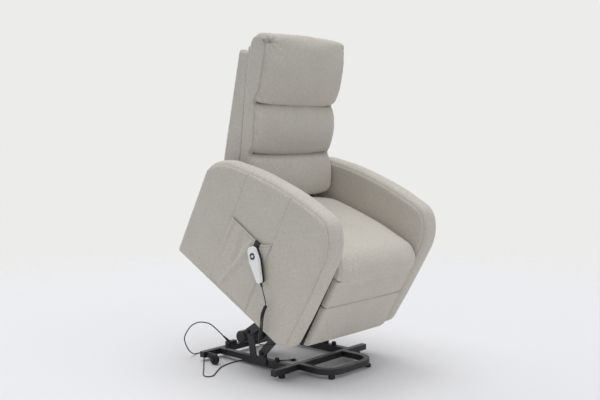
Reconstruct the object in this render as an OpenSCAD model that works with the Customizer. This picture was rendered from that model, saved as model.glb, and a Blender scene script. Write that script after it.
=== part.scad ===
/* [Side panels and seat] */
// Length of each side panel along the seat
panel_len = 738; // [700:1:780]
// Thickness of each side panel
panel_thick = 100; // [80:1:120]
// Clear width between the two side panels
seat_width = 520; // [500:1:560]
// Height of the seat frame's top above the panels' lower edge
seat_deck_u = 298; // [290:1:305]
// Rounding of the padded band along the arm's top and front
band_r = 34; // [20:1:40]
// Rise of the seat cushion at its middle
seat_crown = 20; // [5:1:24]
// Gap between a cushion and the side panel beside it
cushion_gap = 5; // [3:1:10]

/* [Back] */
// Gap between the back and the side panel beside it
back_gap = 10; // [6:1:30]
// Thickness of the back at arm height
back_thick = 105; // [90:1:120]
// Rounding of the back cushions' ends
pillow_end_r = 30; // [15:1:40]
// Rise of the back cushions at their middle
pillow_crown = 10; // [0:1:16]
// Back hinge, distance forward of the panels' rear edge
back_pivot_f = 150; // [140:1:160]
// Back hinge, height above the panels' lower edge
back_pivot_u = 300; // [290:1:310]

/* [Base frame] */
// Side of the square steel tube
tube = 25; // [20:1:30]
// Wall of the steel tube
tube_wall = 2; // [1.5:0.1:3]
// Height of the feet
foot_h = 16; // [12:1:25]
// Diameter of the feet
foot_d = 28; // [24:1:34]
// Centre of each long rail, inward of the side panel's inner face
rail_inset = 74; // [60:1:90]
// Half length of the front cross tube
front_half = 295; // [260:1:320]
// Half length of the rear cross tube
rear_half = 292; // [260:1:320]
// Centre of the front cross tube, ahead of the origin
front_y = 55; // [40:1:80]
// Centre of the rear cross tube, behind the origin
rear_y = 381; // [360:1:400]
// Half width of the front loop
loop_half = 142; // [120:1:155]
// Centre of the loop's front bar, ahead of the origin
loop_y = 226; // [200:1:240]
// Bend radius of the loop's corners
loop_r = 70; // [50:1:90]
// Diameter of the transport wheels
wheel_d = 43; // [38:1:46]
// Width of the transport wheels
wheel_w = 18; // [14:1:22]
// Wheel axle, behind the origin
wheel_y = 300; // [280:1:320]

/* [Lift linkage] */
// Forward tilt of the chair when it is fully raised
tilt = 28.3; // [20:0.1:30]
// Lift arm's fixed pivot, behind the origin
arm_pivot_y = 174; // [160:1:190]
// Lift arm's fixed pivot, above the floor
arm_pivot_z = 148; // [135:1:160]
// Lift arm, pivot to pivot
lift_arm_len = 268; // [255:1:280]
// Lift arm's slope when raised
lift_arm_angle = 33.9; // [30:0.1:38]
// Front link's fixed pivot, behind the origin
link_pivot_y = 94; // [80:1:105]
// Front link's fixed pivot, above the floor
link_pivot_z = 67; // [62:1:75]
// Lift arm's pivot on the chair, ahead of the panels' rear edge
chair_pivot_f = 540; // [530:1:550]
// Lift arm's pivot on the chair, above the panels' lower edge
chair_pivot_u = 73; // [65:1:80]
// Front link's pivot on the chair, ahead of the panels' rear edge
link_top_f = 593; // [585:1:600]
// Front link's pivot on the chair, above the panels' lower edge
link_top_u = 32; // [25:1:40]
// Thickness of the link plates
link_t = 6; // [4:0.5:6]
// Width of the lift arms
lift_arm_w = 36; // [30:1:40]
// Width of the front links
front_link_w = 36; // [34:1:38]
// Radius of the pivot bolts' shanks
pivot_r = 6; // [5:0.5:7]
// Radial clearance of a turning pivot
pivot_gap = 0.1; // [0.05:0.05:0.3]
// Radial clearance at the front link's upper end
open_gap = 4.2; // [4:0.1:5]
// Side gap between two plates that turn past each other
side_gap = 0.5; // [0.3:0.1:0.8]
// Thickness of the red thrust washers
washer_t = 2; // [1.5:0.1:2.5]
// Diameter of the torque tube between the lift arms
torque_d = 25; // [20:1:30]

/* [Actuator] */
// Rear clevis pin, behind the origin
ram_y = 325; // [320:1:330]
// Rear clevis pin, above the floor
ram_z = 52; // [48:1:56]
// Front pin on the chair, ahead of the panels' rear edge
ram_front_f = 470; // [464:1:476]
// Front pin on the chair, above the panels' lower edge
ram_front_u = 120; // [114:1:124]
// Radial clearance at the rod's eye
eye_gap = 7.4; // [7:0.1:8]
// Diameter of the motor
motor_d = 56; // [46:1:62]
// Length of the motor
motor_len = 131; // [100:1:140]
// Diameter of the push rod
rod_d = 24; // [20:1:26]
// Diameter of the outer tube
ram_tube_d = 34; // [31:1:38]
// Clevis pin radius
clevis_r = 5; // [4:0.5:6]

/* [Footrest linkage] */
// Lower link's pivot on the chair, behind the footrest board
foot_pivot_back = 76; // [72:1:80]
// Lower link's pivot on the chair, above the panels' lower edge
foot_pivot_u = 249; // [246:1:252]
// Lower link, pivot to pivot
foot_lower_len = 176; // [172:1:180]
// Lower link's direction when folded, from forward
foot_lower_angle = 252; // [250:0.5:254]
// Upper link, pivot to pivot
foot_upper_len = 222; // [218:1:226]
// Upper link's direction when folded, from forward
foot_upper_angle = 59; // [58:0.5:60]
// Width of the footrest links
foot_link_w = 26; // [20:1:28]
// Thickness of the footrest board
board_t = 15; // [12:1:18]
// Rear face of the footrest board, behind the panels' front end
board_back = 38; // [34:1:40]
// Top of the footrest
footrest_top = 333; // [320:1:335]
// Seam between the footrest's two pads
footrest_seam = 202; // [180:1:220]

/* [Handset] */
// Length of the handset
handset_len = 151; // [130:1:160]
// Thickness of the handset
handset_thick = 24.5; // [20:0.5:28]
// Slope of the handset on the panel
handset_angle = -42.6; // [-60:0.1:-20]
// Top of the handset, ahead of the panels' rear edge
handset_f = 396; // [380:1:410]
// Top of the handset, above the panels' lower edge
handset_u = 287; // [270:1:300]
// Outer diameter of the button ring
ring_d = 27; // [24:0.5:32]
// Inner diameter of the button ring
ring_hole = 13; // [10:0.5:16]
// Travel of the buttons
press = 1.2; // [0.8:0.1:1.6]
// Gap round the buttons
button_gap = 0.3; // [0.2:0.05:0.5]
// Outer diameter of the curly cord
coil_d = 15; // [12:0.5:16]
// Diameter of the handset cord
cord_d = 4.5; // [4:0.1:5]

/* [Side pocket] */
// Rear seam of the pocket
pocket_f0 = 226; // [180:1:260]
// Front seam of the pocket
pocket_f1 = 470; // [440:1:520]
// Mouth of the pocket
pocket_top = 306; // [280:1:320]
// Depth of the pocket
pocket_gap = 5.5; // [4.5:0.1:7]
// Thickness of the pocket's cloth and lining
pocket_wall = 2; // [1.5:0.1:3]

/* [Power lead] */
// Diameter of the power lead
lead_d = 5; // [4.5:0.1:6]

/* [Hidden] */

steel = "#1d1e20";
cloth = "#b0aba0";
inner_x = seat_width / 2;
rail_x = inner_x - rail_inset;
back_half_w = inner_x - back_gap;
board_f = panel_len - board_back;
foot_pivot_f = board_f - foot_pivot_back;
outer_x = inner_x + panel_thick;
tube_z = foot_h + tube / 2;
tube_top = foot_h + tube;

// Lanes across the width, from the rails outwards
bracket_x = rail_x + tube / 2;
lift_x = bracket_x + link_t + washer_t + side_gap;
plate_x = lift_x + link_t + side_gap;
head_t = 5;
mech_t = 5;
mech_x = inner_x - mech_t;
foot_lower_x = mech_x - 2 - link_t;
foot_upper_x = foot_lower_x - 2 - link_t;
back_plate_x = foot_upper_x - link_t;

// The chair's own frame: forward is -Y, up is +Z, zero at the panels' lower rear corner
origin_y = arm_pivot_y - lift_arm_len * cos(lift_arm_angle)
  + chair_pivot_f * cos(tilt) + chair_pivot_u * sin(tilt);
origin_z = arm_pivot_z + lift_arm_len * sin(lift_arm_angle)
  + chair_pivot_f * sin(tilt) - chair_pivot_u * cos(tilt);
function chair(f, u) = [origin_y - f * cos(tilt) - u * sin(tilt),
  origin_z - f * sin(tilt) + u * cos(tilt)];
module on_chair() translate([0, origin_y, origin_z]) rotate([tilt, 0, 0]) children();

link_top = chair(link_top_f, link_top_u);
ram_front = chair(ram_front_f, ram_front_u);
ram_len = norm([ram_y - ram_front[0], ram_front[1] - ram_z]);
ram_angle = atan2(ram_front[1] - ram_z, ram_y - ram_front[0]);
foot_joint = [foot_pivot_f + foot_lower_len * cos(foot_lower_angle),
  foot_pivot_u + foot_lower_len * sin(foot_lower_angle)];
board_joint = [foot_joint[0] + foot_upper_len * cos(foot_upper_angle),
  foot_joint[1] + foot_upper_len * sin(foot_upper_angle)];

// ---------- shared shapes ----------
// A copy on each side of the chair
module both_sides() {
  children();
  mirror([1, 0, 0]) children();
}

// A flat shape drawn in (y, z) and thickened from x to x + t
module plate(x, t) translate([x, 0, 0]) rotate([90, 0, 90]) linear_extrude(t) children();

// A round pin along X
module pin(x0, x1, y, z, r) translate([x0, y, z]) rotate([0, 90, 0]) cylinder(r = r, h = x1 - x0, $fn = 48);

// A bar between two points of the plane, with round eyes of diameter w slightly wider than the bar
module bar(a, b, w) {
  d = b - a;
  for (p = [a, b]) translate(p) circle(d = w, $fn = 48);
  translate(a) rotate(atan2(d[1], d[0])) translate([0, -0.48 * w]) square([norm(d), 0.96 * w]);
}

// Square tube along X between two values of x, centred on the y and z given
module tube_x(x0, x1, y, z) difference() {
  translate([x0, y - tube / 2, z - tube / 2]) cube([x1 - x0, tube, tube]);
  translate([x0 - 1, y - tube / 2 + tube_wall, z - tube / 2 + tube_wall])
    cube([x1 - x0 + 2, tube - 2 * tube_wall, tube - 2 * tube_wall]);
}

// Square tube along Y
module tube_y(y0, y1, x, z) difference() {
  translate([x - tube / 2, y0, z - tube / 2]) cube([tube, y1 - y0, tube]);
  translate([x - tube / 2 + tube_wall, y0 - 1, z - tube / 2 + tube_wall])
    cube([tube - 2 * tube_wall, y1 - y0 + 2, tube - 2 * tube_wall]);
}

// Each corner of an outline becomes a curve that starts and ends the given distance from it
function soften(pts, cuts, steps = 4) = [for (i = [0 : len(pts) - 1])
  let (v = pts[i], a = pts[(i + len(pts) - 1) % len(pts)], b = pts[(i + 1) % len(pts)],
    t1 = v + (a - v) * cuts[i] / norm(a - v), t2 = v + (b - v) * cuts[i] / norm(b - v))
  for (k = [0 : steps]) let (s = k / steps) t1 * (1 - s) * (1 - s) + v * 2 * s * (1 - s) + t2 * s * s];

// Outward direction of an outline at point i
function facing(pts, i) = let (d = pts[(i + 1) % len(pts)] - pts[(i + len(pts) - 1) % len(pts)])
  [d[1], -d[0]] / norm(d);

// How far a point of the outline gives way: all round, or only where it faces up or forward
function gives(n, upper) = upper ? min(1, 1.4 * max(n[0], n[1], 0)) : 1;

// How far it swells: where it faces forward, and as much as told where it faces up, from height u
function swells(n, p, up, from_u) = p[1] < from_u ? 0
  : min(1, 1.4 * max(n[0], up * n[1], 0)) * max(0, min(1, 1 + 1.6 * n[0]));

// An upholstered form: an outline in (forward, up) carried from x0 to x1, its ends rounded by r
// and its front, and its top as far as up says, raised by crown at mid width. It faces the ways
// given, or else square to its outline
module padded(pts, x0, x1, r, crown = 0, upper = false, up = 1, from_u = 0, ways = []) {
  n = len(pts);
  steps = 3;
  spans = 4;
  stations = concat(
    [for (k = [0 : steps]) let (a = 90 * k / steps) [x0 + r * (1 - cos(a)), r * (1 - sin(a)), 0]],
    [for (k = [1 : spans - 1]) let (s = k / spans)
      [x0 + r + (x1 - x0 - 2 * r) * s, 0, crown * sin(180 * s)]],
    [for (k = [steps : -1 : 0]) let (a = 90 * k / steps) [x1 - r * (1 - cos(a)), r * (1 - sin(a)), 0]]);
  points = [for (s = stations) for (i = [0 : n - 1])
    let (d = len(ways) > 0 ? ways[i] : facing(pts, i),
      p = pts[i] - d * (s[1] * gives(d, upper) - s[2] * swells(d, pts[i], up, from_u)))
    [s[0], -p[0], p[1]]];
  rings = len(stations);
  faces = concat(
    [for (k = [0 : rings - 2]) for (i = [0 : n - 1]) let (j = (i + 1) % n)
      each [[k * n + i, k * n + j, (k + 1) * n + j], [k * n + i, (k + 1) * n + j, (k + 1) * n + i]]],
    [[for (i = [n - 1 : -1 : 0]) i]],
    [[for (i = [0 : n - 1]) (rings - 1) * n + i]]);
  polyhedron(points, faces, convexity = 6);
}

// A plain round cord swept along a list of points
module cord(path, d, sides) {
  n = len(path);
  points = [for (i = [0 : n - 1])
    let (t = path[min(i + 1, n - 1)] - path[max(i - 1, 0)], w = t / norm(t),
      side = norm(cross(w, [0, 0, 1])) > 0.2 ? cross(w, [0, 0, 1]) : cross(w, [1, 0, 0]),
      a = side / norm(side), b = cross(a, w))
    for (k = [0 : sides - 1]) path[i] + (a * cos(360 * k / sides) + b * sin(360 * k / sides)) * d / 2];
  faces = concat(
    [for (i = [0 : n - 2]) for (k = [0 : sides - 1]) let (j = (k + 1) % sides)
      each [[i * sides + k, (i + 1) * sides + k, (i + 1) * sides + j],
        [i * sides + k, (i + 1) * sides + j, i * sides + j]]],
    [[for (k = [0 : sides - 1]) k]],
    [[for (k = [sides - 1 : -1 : 0]) (n - 1) * sides + k]]);
  polyhedron(points, faces, convexity = 10);
}

// Points of a smooth curve through hand-placed points
function spline(p, per) = concat([for (i = [0 : len(p) - 2])
  let (a = p[max(i - 1, 0)], b = p[i], c = p[i + 1], d = p[min(i + 2, len(p) - 1)])
  for (k = [0 : per - 1]) let (s = k / per)
    (b * 2 + (c - a) * s + (a * 2 - b * 5 + c * 4 - d) * s * s
      + (b * 3 - a - c * 3 + d) * s * s * s) / 2], [p[len(p) - 1]]);

// ---------- base frame ----------
module base_rails() color(steel) both_sides() {
  tube_y(-front_y + tube / 2, rear_y - tube / 2, rail_x, tube_z);
  // stiffening channel under the loaded half of the rail
  translate([rail_x - tube / 2 + 2, -front_y + tube, foot_h - 8]) cube([tube - 4, 260, 8]);
}
module base_front_tube() color(steel) tube_x(-front_half, front_half, -front_y, tube_z);
module base_rear_tube() color(steel) tube_x(-rear_half, rear_half, rear_y, tube_z);
module base_front_loop() color(steel) {
  both_sides() {
    tube_y(-loop_y + loop_r, -front_y - tube / 2, loop_half, tube_z);
    translate([loop_half - loop_r, -loop_y + loop_r, tube_z]) rotate([0, 0, -90])
      rotate_extrude(angle = 90, $fn = 96) translate([loop_r, 0]) difference() {
        square(tube, center = true);
        square(tube - 2 * tube_wall, center = true);
      }
  }
  tube_x(-loop_half + loop_r, loop_half - loop_r, -loop_y, tube_z);
}
module tube_end_caps() color("#161616")
  for (c = [[front_half, -front_y], [rear_half, rear_y]]) both_sides() {
    translate([c[0], c[1] - tube / 2, foot_h]) cube([3, tube, tube]);
    translate([c[0] - 12, c[1] - tube / 2 + tube_wall + 0.2, foot_h + tube_wall + 0.2])
      cube([12, tube - 2 * tube_wall - 0.4, tube - 2 * tube_wall - 0.4]);
  }
foot_places = [[front_half - 48, -front_y], [loop_half - 22, -loop_y + 12]];
module base_feet() color("#121212")
  for (p = foot_places) both_sides() translate([p[0], p[1], 0])
    rotate_extrude($fn = 48) polygon([[0, 0], [foot_d / 2 - 1.5, 0], [foot_d / 2, 2],
      [foot_d / 2, foot_h - 4], [foot_d / 2 - 4, foot_h], [0, foot_h]]);

// ---------- lift brackets and their fixed pivots ----------
module bracket_shape() difference() {
  union() {
    bar([arm_pivot_y - 22, foot_h + 22], [arm_pivot_y, arm_pivot_z], 37);
    bar([link_pivot_y, foot_h + 22], [link_pivot_y, link_pivot_z], 38);
    translate([link_pivot_y - 19, foot_h + 3]) square([arm_pivot_y - link_pivot_y + 15, tube + 6]);
  }
  translate([arm_pivot_y, arm_pivot_z]) circle(r = pivot_r + 0.05, $fn = 48);
  translate([link_pivot_y, link_pivot_z]) circle(r = pivot_r + 0.05, $fn = 48);
}
module lift_brackets() color(steel) both_sides() plate(bracket_x, link_t) bracket_shape();
module lift_pivot_bolts() color("#3a3b3e")
  for (p = [[arm_pivot_y, arm_pivot_z], [link_pivot_y, link_pivot_z]]) both_sides() {
    pin(bracket_x - 0.5, lift_x + link_t + side_gap, p[0], p[1], pivot_r);
    pin(bracket_x - 5, bracket_x - 0.5, p[0], p[1], 9);
    pin(lift_x + link_t + side_gap, lift_x + link_t + side_gap + head_t, p[0], p[1], 9);
  }
module pivot_washers() color("#8f1f2c")
  for (p = [[arm_pivot_y, arm_pivot_z], [link_pivot_y, link_pivot_z]]) both_sides()
    difference() {
      pin(bracket_x + link_t, bracket_x + link_t + washer_t, p[0], p[1], 15);
      pin(bracket_x, bracket_x + link_t + 2 * washer_t, p[0], p[1], pivot_r + 0.1);
    }
module rail_bumpers() color("#101010") both_sides()
  translate([rail_x, 30, tube_top]) cylinder(d1 = tube - 1, d2 = 18, h = 15, $fn = 48);

// ---------- transport wheels ----------
wheel_x = front_half - 2;
module wheel_brackets() color(steel) both_sides() {
  plate(wheel_x - wheel_w / 2 - 6, 4) difference() {
    union() {
      translate([wheel_y, wheel_d / 2]) circle(r = 12, $fn = 48);
      translate([wheel_y, foot_h]) square([rear_y - tube / 2 - wheel_y, tube]);
    }
    translate([wheel_y, wheel_d / 2]) circle(r = 4, $fn = 48);
  }
  pin(wheel_x - wheel_w / 2 - 6, wheel_x + wheel_w / 2 + 2, wheel_y, wheel_d / 2, 4);
  pin(wheel_x + wheel_w / 2 + 2, wheel_x + wheel_w / 2 + 5, wheel_y, wheel_d / 2, 7);
}
module wheel() color("#232323") translate([wheel_x, wheel_y, wheel_d / 2]) rotate([0, 90, 0])
  rotate_extrude($fn = 72) translate([0, -wheel_w / 2]) polygon([[4.1, 0], [9, 0], [9, 2],
    [14, 2], [14, 0], [wheel_d / 2 - 2, 0], [wheel_d / 2, 2], [wheel_d / 2, wheel_w - 2],
    [wheel_d / 2 - 2, wheel_w], [14, wheel_w], [14, wheel_w - 2], [9, wheel_w - 2], [9, wheel_w],
    [4.1, wheel_w]]);
module wheel_left() wheel();
module wheel_right() mirror([1, 0, 0]) wheel();

// ---------- lift arms and front links ----------
arm_tip = [arm_pivot_y - lift_arm_len * cos(lift_arm_angle), arm_pivot_z + lift_arm_len * sin(lift_arm_angle)];
module lift_arms() color(steel) both_sides() plate(lift_x, link_t) difference() {
  bar([arm_pivot_y, arm_pivot_z], arm_tip, lift_arm_w);
  translate([arm_pivot_y, arm_pivot_z]) circle(r = pivot_r + pivot_gap, $fn = 48);
  translate(arm_tip) circle(r = pivot_r + pivot_gap, $fn = 48);
}
torque_back = 45;
torque_y = arm_tip[0] + torque_back * cos(lift_arm_angle);
torque_z = arm_tip[1] - torque_back * sin(lift_arm_angle);
module torque_tube() color(steel) difference() {
  pin(-lift_x, lift_x, torque_y, torque_z, torque_d / 2);
  pin(-lift_x - 1, lift_x + 1, torque_y, torque_z, torque_d / 2 - 2.5);
}
module front_link() color(steel) plate(lift_x, link_t) difference() {
  bar([link_pivot_y, link_pivot_z], link_top, front_link_w);
  translate([link_pivot_y, link_pivot_z]) circle(r = pivot_r + pivot_gap, $fn = 48);
  translate(link_top) circle(r = pivot_r + open_gap, $fn = 48);
}
module front_link_left() front_link();
module front_link_right() mirror([1, 0, 0]) front_link();

// ---------- chassis under the seat ----------
tube_u = 160;
cross_tubes = [[130, tube_u], [430, tube_u], [board_f - 175, tube_u]];
// Upper face of the cross tubes, on which the seat rails rest
board_u = cross_tubes[1][1] + tube / 2;
module mechanism_plates() color(steel) on_chair() both_sides() plate(mech_x, mech_t) difference() {
  mirror([1, 0]) union() {
    bar(cross_tubes[0] - [20, 0], cross_tubes[2] + [20, 0], 40);
    bar(cross_tubes[2] + [20, 0], [foot_pivot_f, foot_pivot_u], 34);
    bar(cross_tubes[0], [back_pivot_f, back_pivot_u], 36);
  }
  translate([-foot_pivot_f, foot_pivot_u]) circle(r = pivot_r, $fn = 48);
  translate([-back_pivot_f, back_pivot_u]) circle(r = pivot_r, $fn = 48);
  for (f = bolt_places) translate([-f, tube_u]) circle(r = 4.1, $fn = 32);
}
bolt_places = [190, 340, 480];
module chassis_tubes() color(steel) on_chair()
  for (c = cross_tubes) tube_x(-mech_x, mech_x, -c[0], c[1]);
module chassis_pivot_plates() color(steel) on_chair() both_sides() plate(plate_x, link_t) difference() {
  mirror([1, 0]) union() {
    bar([chair_pivot_f, chair_pivot_u], [link_top_f, link_top_u], 40);
    bar([chair_pivot_f, chair_pivot_u], cross_tubes[2], 40);
    bar(cross_tubes[1], cross_tubes[2], 44);
  }
  for (c = [cross_tubes[1], cross_tubes[2]])
    translate([-c[0] - tube / 2, c[1] - tube / 2]) square(tube);
  // the seat rail rests on the plate's upper edge
  translate([-panel_len, board_u]) square([panel_len, 60]);
  translate([-chair_pivot_f, chair_pivot_u]) circle(r = pivot_r + 0.05, $fn = 48);
  translate([-link_top_f, link_top_u]) circle(r = pivot_r + 0.05, $fn = 48);
}
// Bolts fixed in the chassis: lift arm, front link, footrest link and back hinge
module chassis_bolts() color("#3a3b3e") on_chair() both_sides() {
  for (p = [[chair_pivot_f, chair_pivot_u], [link_top_f, link_top_u]]) {
    pin(lift_x - side_gap, plate_x + link_t + 0.5, -p[0], p[1], pivot_r);
    pin(plate_x + link_t + 0.5, plate_x + link_t + head_t, -p[0], p[1], 10);
    pin(lift_x - side_gap - 3, lift_x - side_gap, -p[0], p[1], p[0] == link_top_f ? 17 : 10);
  }
  pin(foot_lower_x - side_gap, inner_x, -foot_pivot_f, foot_pivot_u, pivot_r - 0.05);
  pin(foot_lower_x - side_gap - 3, foot_lower_x - side_gap, -foot_pivot_f, foot_pivot_u, 9);
  pin(back_plate_x - side_gap, inner_x, -back_pivot_f, back_pivot_u, pivot_r - 0.05);
  pin(back_plate_x - side_gap - 3, back_plate_x - side_gap, -back_pivot_f, back_pivot_u, 9);
}
module actuator_front_bracket() color(steel) on_chair() {
  both_sides() plate(13, 4) difference() {
    mirror([1, 0]) union() {
      bar([cross_tubes[1][0], ram_front_u + 12], [ram_front_f, ram_front_u], 28);
      translate([cross_tubes[1][0] - tube / 2, ram_front_u + 12])
        square([tube, cross_tubes[1][1] - tube / 2 - ram_front_u - 12]);
    }
    translate([-ram_front_f, ram_front_u]) circle(r = clevis_r, $fn = 48);
  }
  pin(-20, 20, -ram_front_f, ram_front_u, clevis_r);
}

// ---------- side panels ----------
panel_outline = soften([[0, 0], [panel_len - 14, 0], [panel_len, 260], [panel_len, 478],
  [panel_len - 66, 572], [panel_len - 238, 574], [280, 549], [70, 492], [0, 438]],
  [6, 44, 80, 60, 52, 90, 100, 40, 40]);
module arm_panel() difference() {
  padded(panel_outline, inner_x, outer_x, band_r, 0, true);
  for (f = bolt_places) pin(inner_x - 1, inner_x + 30, -f, tube_u, 4.1);
}
module left_arm() color(cloth) on_chair() arm_panel();
module right_arm() color(cloth) on_chair() mirror([1, 0, 0]) arm_panel();
module arm_bolts() color("#8b8d90") on_chair() both_sides()
  for (f = bolt_places) {
    pin(mech_x, inner_x + 28, -f, tube_u, 4);
    pin(mech_x - 4, mech_x, -f, tube_u, 8);
  }

// ---------- seat ----------
seat_rail_x = plate_x;
seat_rail_t = 18;
deck_f0 = 165;
deck_f1 = board_f - 20;
module seat_frame() color("#c9a877") on_chair() {
  both_sides() translate([seat_rail_x, -deck_f1, board_u])
    cube([seat_rail_t, deck_f1 - deck_f0, seat_deck_u - board_u]);
  for (f = [deck_f0, deck_f1 - 22]) translate([-seat_rail_x, -f - 22, seat_deck_u - 50])
    cube([2 * seat_rail_x, 22, 50]);
}
module seat_webbing() color("#4a4038") on_chair()
  for (x = [-180 : 72 : 180]) translate([x - 25, -deck_f1, seat_deck_u])
    cube([50, deck_f1 - deck_f0, 2]);
seat_bottom = seat_deck_u + 2.3;
lip_u = footrest_top + 10;
roll_f = board_f - 8;
roll_top = 416.7;
glue_line = 0.5;
seat_outline = soften([[168, seat_bottom], [roll_f, seat_bottom], [roll_f, lip_u],
  [board_f + 42, lip_u], [board_f + 56, 376], [board_f, 422], [520, 416], [386, 398], [250, 374],
  [176, 338]], [8, 3, 3, 8, 20, 30, 40, 40, 30, 12]);
seat_faces = [for (i = [0 : len(seat_outline) - 1]) facing(seat_outline, i)];
// The seat's foam: a slab, and a front roll glued to its flat front that hangs over the footrest.
// The outline's points 0 to 9 and 28 on belong to the slab, and 15 to 27 to the roll
slab_ids = [for (i = [28 : len(seat_outline) - 1]) i];
slab = concat([for (i = [0 : 9]) seat_outline[i]], [[roll_f, lip_u], [roll_f, roll_top]],
  [for (i = slab_ids) seat_outline[i]]);
slab_ways = concat([for (i = [0 : 9]) seat_faces[i]], [[0, -1], [0, 1]],
  [for (i = slab_ids) seat_faces[i]]);
roll = concat([[roll_f + glue_line, lip_u]], [for (i = [15 : 27]) seat_outline[i]],
  [[roll_f + glue_line, roll_top]]);
roll_ways = concat([[0, -1]], [for (i = [15 : 27]) seat_faces[i]], [[0, 1]]);
module seat_foam(pts, ways) padded(pts, -inner_x + cushion_gap, inner_x - cushion_gap, 18,
  seat_crown, true, from_u = lip_u + 9, ways = ways);
module seat_cushion() color(cloth) on_chair() {
  seat_foam(slab, slab_ways);
  seat_foam(roll, roll_ways);
}
module rear_panel() color(cloth) on_chair()
  translate([-inner_x, -14, 120]) cube([seat_width, 12, 85]);

// ---------- side pocket ----------
module side_pocket() color(cloth) on_chair() difference() {
  translate([-outer_x - pocket_gap - pocket_wall, -pocket_f1, 14])
    cube([pocket_gap + pocket_wall, pocket_f1 - pocket_f0, pocket_top - 14]);
  translate([-outer_x - pocket_gap, -pocket_f1 + 5, 20])
    cube([pocket_gap + 1, pocket_f1 - pocket_f0 - 10, pocket_top]);
}

// ---------- control box ----------
box_f0 = cross_tubes[2][0] + tube / 2;
module control_box() color("#202123") on_chair() {
  translate([-190, -box_f0 - 84, 128]) cube([120, 84, 44]);
  translate([-178, -box_f0 - 84, 150]) rotate([90, 0, 0]) cylinder(r1 = 6, r2 = 4, h = 10, $fn = 36);
}

// ---------- handset ----------
pocket_face = outer_x + pocket_gap + pocket_wall;
hook_t = 2.5;
back_of_handset = pocket_face + hook_t;
split_x = back_of_handset + 11;
face_x = back_of_handset + handset_thick;
// Drawn with its top at the origin and its length along -Y, then turned to hang on the panel
module on_handset() on_chair() translate([0, -handset_f, handset_u])
  rotate([-handset_angle, 0, 0]) children();
module handset_outline(inset = 0) hull() {
  translate([-24, 0]) circle(r = 21 - inset, $fn = 32);
  translate([-60, 0]) circle(r = 25 - inset, $fn = 32);
  translate([-handset_len + 12, 0]) circle(r = 12 - inset, $fn = 32);
}
ring_l = 42;
module half_ring(grow, up) intersection() {
  difference() {
    circle(d = ring_d + 2 * grow, $fn = 64);
    circle(d = ring_hole - 2 * grow, $fn = 64);
  }
  translate([up ? 1.5 - grow : -ring_d, -ring_d]) square([ring_d - 1.5 + grow, 2 * ring_d]);
}
module handset_plate(x, t) translate([-x - t, 0, 0]) rotate([90, 0, 90]) linear_extrude(t) children();
module handset_back_shell() color("#1b1c1e") on_handset() handset_plate(back_of_handset, 11) handset_outline();
module handset_front_shell() color("#e4e6e2") on_handset() difference() {
  handset_plate(split_x, face_x - split_x) handset_outline();
  handset_plate(face_x - 5, 6) for (up = [true, false]) translate([-ring_l, 0]) half_ring(button_gap, up);
}
module button(up) color("#2a3038") on_handset()
  handset_plate(face_x - 5 + press + 0.3, 5) translate([-ring_l, 0]) half_ring(0, up);
module button_up() button(true);
module button_down() button(false);
// Bent strip that stands in the pocket's mouth and holds the handset outside it
module handset_hook() color("#2c2d30") on_chair() {
  hook_f = handset_f + 24;
  inner = outer_x + pocket_gap - hook_t;
  translate([-inner, -hook_f, pocket_top - 24]) cube([2, 28, 24]);
  translate([-back_of_handset, -hook_f, pocket_top]) cube([back_of_handset - inner + 2, 28, 2.5]);
  translate([-back_of_handset, -hook_f, handset_u - 26])
    cube([hook_t - 0.3, 28, pocket_top - handset_u + 26]);
}
module handset_strain_relief() color("#161616") on_handset()
  translate([-(back_of_handset + face_x) / 2, -handset_len, 0]) rotate([90, 0, 0])
    cylinder(r1 = 5, r2 = 3, h = 16, $fn = 36);

// Routes in the chair's frame: [x, forward, up]
function on_route(p) = [for (q = p) [q[0], -q[1], q[2]]];
cord_x = (back_of_handset + face_x) / 2;
relief_tip = [-cord_x, handset_f + (handset_len + 16) * cos(handset_angle),
  handset_u + (handset_len + 16) * sin(handset_angle)];
coil_top = [-384, 572, 122];
coil_end = [-384, 610, -24];
module handset_cord() color("#15161a") on_chair()
  cord(spline(on_route([relief_tip, [-383, 538, 157], [-384, 560, 143], [-384, 571, 132], coil_top]), 2),
    cord_d, 8);
module handset_coil() color("#15161a") on_chair()
  cord(spline(on_route([coil_top, [-384, 574, 78], [-384, 594, 26], coil_end]), 3), coil_d, 16);
module handset_tail() color("#15161a") on_chair()
  cord(spline(on_route([coil_end, [-380, 614, -36], [-352, 622, -40], [-306, 632, -38], [-262, 639, -28],
    [-238, 643, 0], [-231, 645, 50], [-228, 648, 100], [-214, 652, 138], [-192, 650, 150],
    [-178, box_f0 + 94, 150]]), 2), cord_d, 8);

// ---------- back ----------
// The shell's front face: a straight line up the back
function shell_front(u) = 61 - 0.4 * (u - 467);
shell_outline = soften([[22, 236], [66, 236], [shell_front(326), 326], [shell_front(467), 467],
  [shell_front(901), 901], [shell_front(901) - 58, 886], [shell_front(467) - back_thick + 5, 428],
  [-8, 330]], [6, 6, 6, 40, 8, 14, 60, 20]);
module back_shell() color(cloth) on_chair() padded(shell_outline, -back_half_w, back_half_w, 10);
module back_brackets() color(steel) on_chair() both_sides() plate(back_plate_x, link_t)
  mirror([1, 0]) difference() {
    bar([back_pivot_f, back_pivot_u], [shell_front(300) - 30, 300], 36);
    translate([back_pivot_f, back_pivot_u]) circle(r = pivot_r + pivot_gap, $fn = 48);
    polygon(shell_outline);
  }
module pillow(pts, cuts) color(cloth) on_chair()
  padded(soften(pts, cuts), -back_half_w, back_half_w, pillow_end_r, pillow_crown, true, up = 0);
module head_cushion() pillow([[shell_front(734) + 0.5, 734], [20, 729], [44, 748], [45, 800], [18, 900],
  [-14, 968], [-48, 1014], [-100, 990], [-120, 940], [-112, 908], [shell_front(894) + 0.5, 893]],
  [4, 10, 12, 24, 40, 26, 18, 20, 14, 4, 6]);
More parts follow.
